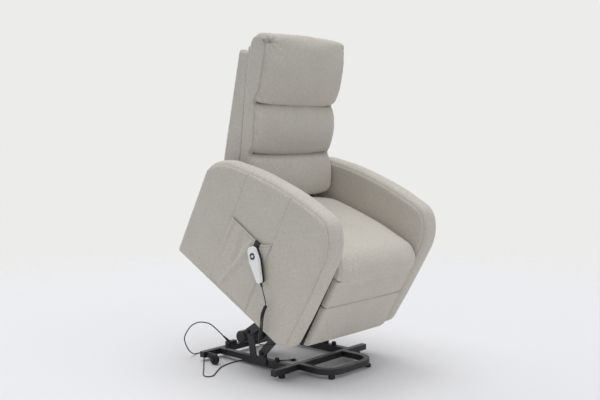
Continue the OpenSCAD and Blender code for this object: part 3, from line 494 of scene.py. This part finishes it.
def sew(piece, seams, depth=0.0018, width=0.006):
    """Pinches the piece along its seams and stores each point's signed distance to the nearest
    one. seams takes x, f, u and the unit normal in those measures and returns distances."""
    co, n = points_of(piece)
    x, f, u = in_chair(co)
    _, nf, nu = in_chair(n + np.array([0, *REAR_CORNER]))
    found = np.stack(seams(x, f, u, n[:, 0], nf, nu)) if seams else np.full((1, len(co)), 1.0)
    near = np.take_along_axis(found, np.abs(found).argmin(0)[None], 0)[0]
    beside = (np.abs(near) - 2.4 * width) / width
    dip = depth * np.exp(-(near / width) ** 2) - 0.35 * depth * np.exp(-beside ** 2)
    move_to(piece, co - n * dip[:, None])
    mark = piece.data.attributes.new("seam", "FLOAT", "POINT")
    mark.data.foreach_set("value", np.clip(near, -0.5, 0.5).astype(np.float32))
    return piece


def lay_cloth(piece, turn=0.0):
    """The cloth's own map in millimetres: each face is seen square on, from the side, from above
    or from the front of the chair, whichever it faces most."""
    mesh = piece.data
    co, _ = points_of(piece)
    x, f, u = in_chair(co)
    faces = np.empty(len(mesh.polygons) * 3)
    mesh.polygons.foreach_get("normal", faces)
    nx, nf, nu = in_chair(faces.reshape(-1, 3) + np.array([0, *REAR_CORNER]))
    totals = np.empty(len(mesh.polygons), int)
    mesh.polygons.foreach_get("loop_total", totals)
    corner = np.empty(len(mesh.loops), int)
    mesh.loops.foreach_get("vertex_index", corner)
    kind = np.repeat(np.argmax(np.abs(np.stack([nx, nf, nu])), 0), totals)
    maps = np.stack([np.stack([f, u], -1), np.stack([x, u], -1), np.stack([x, f], -1)])
    uv = maps[kind, corner] * 1000
    c, s = np.cos(turn), np.sin(turn)
    uv = uv @ np.array([[c, s], [-s, c]])
    layer = mesh.uv_layers.new(name="cloth")
    layer.data.foreach_set("uv", uv.astype(np.float32).ravel())
    mesh.materials.append(linen)
    return piece


def away(line, f, u):
    """Distance of each (f, u) to the nearest point of a line."""
    q = line[::2]
    rows = [np.hypot(f[k:k + 4000, None] - q[:, 0], u[k:k + 4000, None] - q[:, 1]).min(1)
            for k in range(0, len(f), 4000)]
    return np.concatenate(rows)


def flush(piece, level, reach=0.030):
    """Brings the front of the piece to one shared face where it comes within reach of height
    level, so that two pieces butted there meet without a groove, and keeps that edge crisp."""
    side_face, swell, end_round = 0.746, 0.010, 0.006
    co, n = points_of(piece)
    x, f, u = in_chair(co)
    _, nf, _ = in_chair(n + np.array([0, *REAR_CORNER]))
    face = side_face + swell * np.cos(pi / 2 * np.clip(x / 0.254, -1, 1)) ** 0.5
    face -= swell * np.exp(-(0.2555 - np.abs(x)).clip(0) / end_round)
    k = np.clip(np.abs(u - level) / reach, 0, 1)
    k = 1 - k * k * (3 - 2 * k)
    k = np.where((nf > 0.25) & (f > 0.72), k, 0)
    move_to(piece, chair(x, f + (face - f) * k, u))
    piece.data.set_sharp_from_angle(angle=radians(55))


def folds(v, seed, waves=7, lo=12.0, hi=60.0):
    """A soft, uneven wave along v in metres: sines of seeded length and phase, about -1 to 1."""
    draw = np.random.default_rng(seed)
    k, phase = draw.uniform(lo, hi, waves), draw.uniform(0, 2 * pi, waves)
    size = draw.uniform(0.4, 1, waves)
    return (np.sin(v[..., None] * k + phase) * size).sum(-1) / size.sum() * 1.6


# ---------------------------------------------------------------------------------------------
# Side panels
# Each side is a foam-wrapped wooden panel in cloth. One long band of cloth runs over the top and
# down the front, sewn to the flat side panels along both of its edges.
# ---------------------------------------------------------------------------------------------
panel_line = rounded([(0, 0), (724, 0), (738, 260), (738, 478), (672, 572), (500, 574), (280, 549),
                      (70, 492), (0, 438)], [6, 44, 80, 60, 52, 90, 100, 40, 40])
panel_n = outward_of(panel_line)
band_line = panel_line[1.4 * np.maximum(panel_n[:, 0], panel_n[:, 1]) > 0.5]


def panel_seams(low):
    """The band's two edges, and on the outer side two upright seams above height low, as signed
    distances."""
    def seams(x, f, u, nx, nf, nu):
        edge = away(band_line, f, u) - 0.016
        outer = (nx * np.sign(x) > 0.7) & (edge > 0.004) & (u > low)
        return [edge, np.where(outer, f - 0.226, 1.0), np.where(outer, f - 0.470, 1.0)]
    return seams


def panel_free(x, f, u):
    """The band gives most, the flat sides a little, and the lower and rear edges not at all."""
    d = away(band_line, f, u)
    return np.clip(1.05 - d / 0.05, 0.25, 1) * np.clip(u / 0.05, 0, 1) * np.clip(f / 0.04, 0, 1)


arm_r = upholstered("right_arm_cover", panel_line, -0.359, -0.261, 0.034)
arm_r = stuffed(arm_r, 0.006, cap=0.006, free=panel_free)
co, n = points_of(arm_r)
x, f, u = in_chair(co)
d = away(band_line, f, u)
ripple = 0.0011 * folds(f * 0.6 + u * 0.8, 4, lo=10, hi=45) * np.exp(-(d - 0.02).clip(0) / 0.05)
move_to(arm_r, co + n * ripple[:, None])
arm_l = keep("left_arm_cover", arm_r.data.copy())
arm_l.data.name = "left_arm_cover"
co, _ = points_of(arm_l)
move_to(arm_l, co * (-1, 1, 1))
arm_l.data.flip_normals()
for arm, node, low in ((arm_r, "right_arm", 0.306), (arm_l, "left_arm", 0)):
    sew(arm, panel_seams(low), depth=0.0013, width=0.0045)
    lay_cloth(arm)
    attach(arm, "chassis")
    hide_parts(node)

# ---------------------------------------------------------------------------------------------
# Side pocket
# A flat pocket of the same cloth on the right side panel, sewn along its two uprights and its
# foot. The mouth dips towards the front and hangs a little open in small gathered folds.
# ---------------------------------------------------------------------------------------------
a, b = np.meshgrid(np.linspace(0, 1, 109), np.linspace(0, 1, 109))
pf = 0.226 + 0.244 * a
mouth_f = np.array([226, 227, 300, 417, 440, 470]) / 1000
mouth_u = np.array([317, 317, 313, 307, 318, 341]) / 1000
mouth = np.interp(pf, mouth_f, mouth_u)
pu = 0.014 + (mouth - 0.014) * b
held = np.minimum(np.minimum(a, 1 - a) * 0.244, b * 0.29)
open_by = (1 - np.exp(-held / 0.012)) * (0.0035 + 0.0040 * b ** 2)


def fold(f, u, stops, width, height):
    """A ridge of the height, or a furrow where it is negative, along a line of (u, f) stops: a
    bell of the width across it, dying away past both ends of the line."""
    at_u, at_f = np.array(stops, float).T / 1000
    across = f - np.interp(u, at_u, at_f)
    along = np.clip((u - at_u[0]) / 0.03 + 0.5, 0, 1) * np.clip((at_u[-1] - u) / 0.012 + 0.6, 0, 1)
    return height * np.exp(-(across / width) ** 2) * along


# the folds: the proud rear edge, two short gathers under the mouth, and the long pull down and
# back from the handset's hook
folded = (fold(pf, pu, [(10, 234), (112, 234), (209, 238), (298, 244)], 0.007, 0.0026)
          + fold(pf, pu, [(150, 252), (221, 254), (264, 256), (303, 262)], 0.008, -0.0026)
          + fold(pf, pu, [(140, 303), (222, 302), (292, 296)], 0.011, 0.0030)
          + fold(pf, pu, [(140, 319), (221, 330), (267, 325), (303, 316)], 0.009, -0.0038)
          + fold(pf, pu, [(15, 291), (97, 315), (159, 336), (230, 361), (290, 376)], 0.013, 0.0046)
          + fold(pf, pu, [(60, 330), (150, 362), (240, 396)], 0.012, -0.0022)
          + fold(pf, pu, [(216, 500), (262, 452), (310, 437)], 0.012, -0.0020))
folded += 0.0005 * folds(pf + 0.25 * (pu - 0.1), 11, waves=6, lo=55, hi=150)
folded *= np.clip(held / 0.006, 0, 1)
px = -0.3605 - open_by - folded
pocket = surface("side_pocket_cloth", chair(px, pf, pu))
if points_of(pocket)[1][:, 0].mean() > 0:
    pocket.data.flip_normals()
lining = pocket.modifiers.new("cloth_and_lining", "SOLIDIFY")
lining.thickness, lining.offset = 0.0022, -1
finer = pocket.modifiers.new("finer", "SUBSURF")
finer.levels = finer.render_levels = 1
settled(pocket)


def pocket_seams(x, f, u, nx, nf, nu):
    """The pocket's sewn edges and the hem below its mouth."""
    rim = np.interp(f, mouth_f, mouth_u)
    return [f - 0.229, f - 0.467, u - 0.018, rim - 0.013 - u]


sew(pocket, pocket_seams, depth=0.0005, width=0.003)
lay_cloth(pocket)
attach(pocket, "chassis")
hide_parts("side_pocket")

# ---------------------------------------------------------------------------------------------
# Seat
# A crowned foam cushion whose front edge rolls over and down as far as the footrest, so that
# seat and footrest read as one long pad.
# ---------------------------------------------------------------------------------------------
seat_line = rounded([(168, 300.3), (688, 300.3), (690, 340), (738, 336), (741, 335), (753, 374),
                     (700, 420), (520, 413), (386, 395), (250, 371), (176, 336)],
                    [8, 3, 3, 1, 1, 22, 30, 40, 40, 30, 12])
seat = upholstered("seat_cushion_cover", seat_line, -0.254, 0.254, 0.020, crown=0.016)


def seat_free(x, f, u):
    """Free on the top and front, held where it lies on the frame and along its lower front."""
    return np.clip((u - 0.318) / 0.05, 0, 1) * np.clip((0.256 - np.abs(x)) / 0.05, 0.1, 1)


seat = stuffed(seat, 0.006, cap=0.014, free=seat_free, smooth=2)
co, n = points_of(seat)
x, f, u = in_chair(co)
pull = np.exp(-((f - 0.70) / 0.10) ** 2) * np.exp(-(0.255 - np.abs(x)) / 0.06)
crease = 0.0016 * folds(f * 1.0 + np.abs(x) * 0.5, 21, lo=25, hi=80) * pull
move_to(seat, co + n * crease[:, None])
flush(seat, 0.336)
sew(seat, lambda x, f, u, nx, nf, nu: [0.243 - np.abs(x)], depth=0.0015)
lay_cloth(seat)
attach(seat, "chassis")
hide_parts("seat_cushion")

# ---------------------------------------------------------------------------------------------
# Footrest
# Two foam pads on a board, sewn together in one seam across. The upper one carries the line of
# the seat on down, the lower one tucks back under at its foot.
# ---------------------------------------------------------------------------------------------
for name, node, u0, u1, cuts, bulge in (
        ("footrest_upper_cover", "footrest_upper_pad", 202.6, 336.5, [3, 5, 26, 1, 1], 8),
        ("footrest_lower_cover", "footrest_lower_pad", 2, 202.4, [5, 40, 30, 5, 3], 6)):
    pad_line = rounded([(698.5, u0), (740, u0), (740 + bulge * 0.3, (u0 + u1) / 2), (742, u1),
                        (698.5, u1)], cuts)
    pad = upholstered(name, pad_line, -0.2465, 0.2555, 0.010, crown=0.002)
    low, high = u0 / 1000, u1 / 1000

    def pad_free(x, f, u):
        """Free on the face, held on the board and, loosely, along the edges."""
        rim = np.minimum(np.minimum(u - low, high - u), 0.2555 - np.abs(x))
        return np.clip((f - 0.718) / 0.02, 0, 1) * np.clip(rim / 0.03, 0.1, 1)

    pad = stuffed(pad, 0.005, cap=0.010, free=pad_free, smooth=2)
    co, n = points_of(pad)
    x, f, u = in_chair(co)
    near = np.exp(-np.abs(u - 0.2025) / 0.022) * np.clip((f - 0.72) / 0.01, 0, 1)
    move_to(pad, co + n * (0.0009 * folds(x, 31, lo=40, hi=140) * near)[:, None])
    if node == "footrest_upper_pad":
        flush(pad, 0.336)
    sew(pad, lambda x, f, u, nx, nf, nu: [0.243 - np.abs(x)], depth=0.0015)
    lay_cloth(pad)
    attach(pad, "footrest")
    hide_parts(node)

# ---------------------------------------------------------------------------------------------
# Back pillows
# Three fibre-filled pillows, full and rounded, one above the other with a deep crease between
# each two. They are pinched hard where they meet the side gussets.
# ---------------------------------------------------------------------------------------------


def shell_front(u):
    """How far forward the back's board stands at height u, in millimetres."""
    return 61 - 0.4 * (u - 467)


pillows = (
    ("head_pillow", "head_cushion", 0.026,
     [(shell_front(734) + 0.5, 734), (14, 731), (36, 746), (38, 800), (12, 898), (-18, 962),
      (-50, 1004), (-98, 982), (-116, 938), (-114, 904), (shell_front(890) + 0.5, 889)],
     [4, 10, 14, 28, 40, 26, 22, 20, 14, 4, 6]),
    ("mid_pillow", "mid_cushion", 0.024,
     [(shell_front(536) + 0.5, 536), (86, 533), (108, 560), (104, 600), (86, 663), (56, 706), (30, 725),
      (shell_front(727) + 0.5, 727)], [4, 12, 18, 18, 30, 20, 10, 4]),
    ("lumbar_pillow", "lumbar_cushion", 0.022,
     [(shell_front(380) + 0.5, 380), (184, 380), (198, 398), (188, 430), (165, 476), (130, 519),
      (100, 528), (shell_front(530) + 0.5, 530)], [4, 8, 10, 14, 24, 20, 10, 4]))
for name, node, cap, points, cuts in pillows:
    head = node == "head_cushion"
    line = rounded(points, cuts)
    pillow = upholstered(name, line, -0.2475, 0.2475, 0.016 - 0.006 * head, crown=0.022, slack=0.4,
                         up=0.25 * head)
    bottom, top = min(p[1] for p in points) / 1000, max(p[1] for p in points) / 1000

    def pillow_free(x, f, u):
        """Free on the face, held on the board behind, towards both sides and in the creases."""
        proud = f - (0.061 - 0.4 * (u - 0.467))
        crease = np.minimum(u - bottom, 1.0 if head else top - u)
        return (np.clip((proud - 0.012) / 0.05, 0, 1) * np.clip((0.250 - np.abs(x)) / 0.03, 0.1, 1)
                * np.clip(crease / 0.03, 0.15, 1))

    pillow = stuffed(pillow, 0.006, cap=cap, free=pillow_free)
    co, n = points_of(pillow)
    x, f, u = in_chair(co)
    side = np.exp(-(0.25 - np.abs(x)).clip(0) / 0.022)
    seamwise = 0.0022 * folds(u, len(name), lo=60, hi=190) * side
    ends = np.exp(-np.minimum(np.abs(u - bottom), np.abs(u - top)) / 0.03)
    crosswise = 0.0012 * folds(x, 7 + len(name), lo=30, hi=110) * ends
    move = seamwise + crosswise
    if head:
        # the upper corners: cloth gathered in short folds round a deep pinch above each side seam
        across = 0.238 - np.abs(x)
        along = 0.87 * (u - 0.978) - 0.5 * (f + 0.030)
        out = np.hypot(across, along)
        gather = np.cos(9 * np.arctan2(along, across) + 0.8 * np.sign(x)) * np.minimum(out / 0.010, 1)
        pinched = np.where(x < 0, 1.0, 0.35)
        move += 0.0046 * pinched * gather * np.exp(-out / 0.028)
        move -= 0.0150 * pinched * np.exp(-((across - 0.006) / 0.016) ** 2 - (along / 0.0075) ** 2)
        move += 0.0060 * np.clip((u - 0.955) / 0.025, 0, 1) * side * np.abs(n[:, 0])
    move_to(pillow, co + n * move[:, None])
    sew(pillow, None)
    lay_cloth(pillow)
    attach(pillow, "back")
    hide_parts(node)

# ---------------------------------------------------------------------------------------------
# Side gussets
# One upright band of cloth over thin foam down each side of the back, from the top of the head
# pillow to the seat. All three pillows are sewn to its front edge.
# ---------------------------------------------------------------------------------------------
gusset_line = rounded([(shell_front(384) + 8, 384), (176, 384), (186, 402), (176, 436), (152, 478),
                       (122, 512), (94, 530), (102, 563), (69, 642), (38, 712), (16, 727), (25, 792),
                       (2, 874), (-18, 944), (-42, 978), (-84, 982), (-108, 962), (-109, 934),
                       (shell_front(716) + 4, 716)],
                      [4, 6, 8, 12, 16, 14, 10, 14, 20, 8, 8, 20, 24, 20, 18, 14, 14, 14, 20])
for hand, sign in (("right", -1), ("left", 1)):
    ends = (-0.2535, -0.224) if sign < 0 else (0.224, 0.2535)
    gusset = upholstered("gusset_" + hand, gusset_line, *ends, 0.007, all_round=True)
    gusset = stuffed(gusset, 0.004)
    co, n = points_of(gusset)
    x, f, u = in_chair(co)
    edge = away(gusset_line, f, u)
    ripple = 0.001 * folds(u, 51 + sign, lo=30, hi=120) * np.exp(-edge / 0.02)
    ripple *= f > (shell_front(u * 1000) + 25) / 1000
    move_to(gusset, co + n * ripple[:, None])
    sew(gusset, lambda x, f, u, nx, nf, nu: [away(gusset_line, f, u) - 0.003],
        depth=0.0006, width=0.003)
    lay_cloth(gusset)
    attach(gusset, "back")

# ---------------------------------------------------------------------------------------------
# Back board
# The wooden back under thin foam and cloth, with a welted edge all round its rear.
# ---------------------------------------------------------------------------------------------
board_line = rounded([(22, 236), (66, 236), (shell_front(326), 326), (shell_front(467) + 8, 467),
                      (shell_front(901) + 15, 901), (shell_front(901) - 56, 885),
                      (shell_front(467) - 100, 428), (-8, 330)], [6, 6, 6, 40, 8, 14, 60, 20])
back_board = upholstered("back_board_cover", board_line, -0.247, 0.247, 0.012, all_round=True)
back_board = stuffed(back_board, 0.0065)
sew(back_board, lambda x, f, u, nx, nf, nu: [away(board_line, f, u) - 0.006], depth=0.0012, width=0.004)
lay_cloth(back_board)
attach(back_board, "back")
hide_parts("back_shell")

# ---------------------------------------------------------------------------------------------
# Rear panel
# A cloth-covered rail across the back of the seat, between the side panels.
# ---------------------------------------------------------------------------------------------
rear_line = rounded([(2, 120), (14, 120), (14, 205), (2, 205)], [4, 4, 4, 4], spacing=0.002)
rear_panel = upholstered("rear_panel_cover", rear_line, -0.26, 0.26, 0.001, all_round=True)
sew(rear_panel, None)
lay_cloth(rear_panel)
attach(rear_panel, "chassis")
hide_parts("rear_panel")

# ---------------------------------------------------------------------------------------------
# Steel frame and links
# Square steel tube and laser-cut plates in a satin black powder coat, with its fine orange peel,
# on black-oxide pivot bolts and crimson acetal washers.
# ---------------------------------------------------------------------------------------------


def dress(material, *names):
    """Gives CAD nodes a material."""
    for name in names:
        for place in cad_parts[name].material_slots:
            place.material = material


def coat(name, base, roughness, metal=0.0, peel_mm=1.6, height=0.06, specular=0.5):
    """A sprayed or plated metal finish: fine orange peel, and cloudy gloss across a hand's width."""
    made, t, shader = finish_of(name, Base_Color=shade(base), Roughness=roughness, Metallic=metal,
                                Specular_IOR_Level=specular)
    spot = add(t, "ShaderNodeTexCoord").outputs["Object"]
    peel = add(t, "ShaderNodeTexNoise", {"Vector": spot, "Scale": 1000 / (peel_mm * 3), "Detail": 2})
    cloud = add(t, "ShaderNodeTexNoise", {"Vector": spot, "Scale": 12.0, "Detail": 4})
    gloss = add(t, "ShaderNodeMapRange", {"Value": cloud.outputs["Fac"], "From Min": 0.3,
                                          "From Max": 0.7, "To Min": roughness - 0.06,
                                          "To Max": roughness + 0.08})
    t.links.new(gloss.outputs["Result"], shader.inputs["Roughness"])
    bump = add(t, "ShaderNodeBump", {"Height": peel.outputs["Fac"], "Strength": height,
                                     "Distance": 0.001})
    t.links.new(bump.outputs["Normal"], shader.inputs["Normal"])
    return made


powder_coat = coat("satin_black_powder_coat", "#1f2022", 0.42)
dress(powder_coat, "base_rails", "base_front_tube", "base_rear_tube", "base_front_loop",
      "lift_brackets", "wheel_brackets", "actuator_clevis", "lift_arms", "torque_tube", "front_link_right",
      "front_link_left", "mechanism_plates", "chassis_tubes", "chassis_pivot_plates",
      "actuator_front_bracket", "back_brackets", "footrest_lower_links", "footrest_upper_links",
      "footrest_brackets")
oxide = coat("black_oxide_bolt", "#2b2c2f", 0.38, metal=0.9)
dress(oxide, "lift_pivot_bolts", "chassis_bolts")
zinc = coat("zinc_plated_steel", "#a9acb0", 0.35, metal=1.0)
dress(zinc, "arm_bolts")
ground = coat("ground_steel_rod", "#b4b7bb", 0.22, metal=1.0, peel_mm=0.6, height=0.02)
dress(ground, "actuator_rod")
crimson = jacket("crimson_acetal", "#8f1f2c", 0.4)
dress(crimson, "pivot_washers")
rubber = jacket("black_epdm_rubber", "#161617", 0.75, grain_mm=0.7, height=0.12)
dress(rubber, "base_feet", "rail_bumpers", "wheel_right", "wheel_left", "lead_strain_relief",
      "handset_strain_relief")
abs_black = jacket("moulded_abs_black", "#1d1e20", 0.45, grain_mm=0.5, height=0.08)
dress(abs_black, "tube_end_caps", "actuator_gearbox", "actuator_motor", "actuator_tube", "lead_coupler",
      "control_box", "handset_back_shell", "handset_hook")
abs_white = jacket("moulded_abs_pale_grey", "#f0f1ee", 0.4, grain_mm=0.5, height=0.03)
dress(abs_white, "handset_front_shell")
button_grey = jacket("button_dark_blue_grey", "#2a3038", 0.5)
dress(button_grey, "button_up", "button_down")

# ---------------------------------------------------------------------------------------------
# Seat base
# Birch plywood rails, a footrest board in black, and seven woven elastic webs across the
# seat frame. The board's black is painted shade, so that the gaps beside the footrest pads
# read dark.
# ---------------------------------------------------------------------------------------------
plywood, t, shader = finish_of("birch_plywood", Roughness=0.6)
spot = add(t, "ShaderNodeTexCoord").outputs["Object"]
long_grain = add(t, "ShaderNodeMapping", {"Vector": spot, "Scale": (9, 60, 60)})
grain = add(t, "ShaderNodeTexNoise", {"Vector": long_grain.outputs["Vector"], "Scale": 3.0,
                                      "Detail": 6.0})
tone = add(t, "ShaderNodeMix", {0: grain.outputs["Fac"], 6: shade("#b08d5c"), 7: shade("#d8bb88")},
           data_type="RGBA")
t.links.new(tone.outputs[2], shader.inputs["Base Color"])
bump = add(t, "ShaderNodeBump", {"Height": grain.outputs["Fac"], "Strength": 0.15, "Distance": 0.0005})
t.links.new(bump.outputs["Normal"], shader.inputs["Normal"])
dress(plywood, "seat_frame")
# the footrest board in black: painted shade for the deep gaps between the arms and the footrest pads
gap_shade_black = jacket("black_board_painted_gap_shade", "#1d1d1e", 0.65, grain_mm=1.2)
dress(gap_shade_black, "footrest_board")
elastic, t, shader = finish_of("woven_elastic_web", Roughness=0.9, Sheen_Weight=0.1)
spot = add(t, "ShaderNodeTexCoord").outputs["Object"]
ribs = add(t, "ShaderNodeTexWave", {"Vector": spot, "Scale": 1000 / (2.5 * 3.2), "Distortion": 0.3},
           wave_type="BANDS", bands_direction="X")
tone = add(t, "ShaderNodeMix", {0: ribs.outputs["Fac"], 6: shade("#2e2a26"), 7: shade("#4d463e")},
           data_type="RGBA")
t.links.new(tone.outputs[2], shader.inputs["Base Color"])
bump = add(t, "ShaderNodeBump", {"Height": ribs.outputs["Fac"], "Strength": 0.3, "Distance": 0.0005})
t.links.new(bump.outputs["Normal"], shader.inputs["Normal"])
dress(elastic, "seat_webbing")
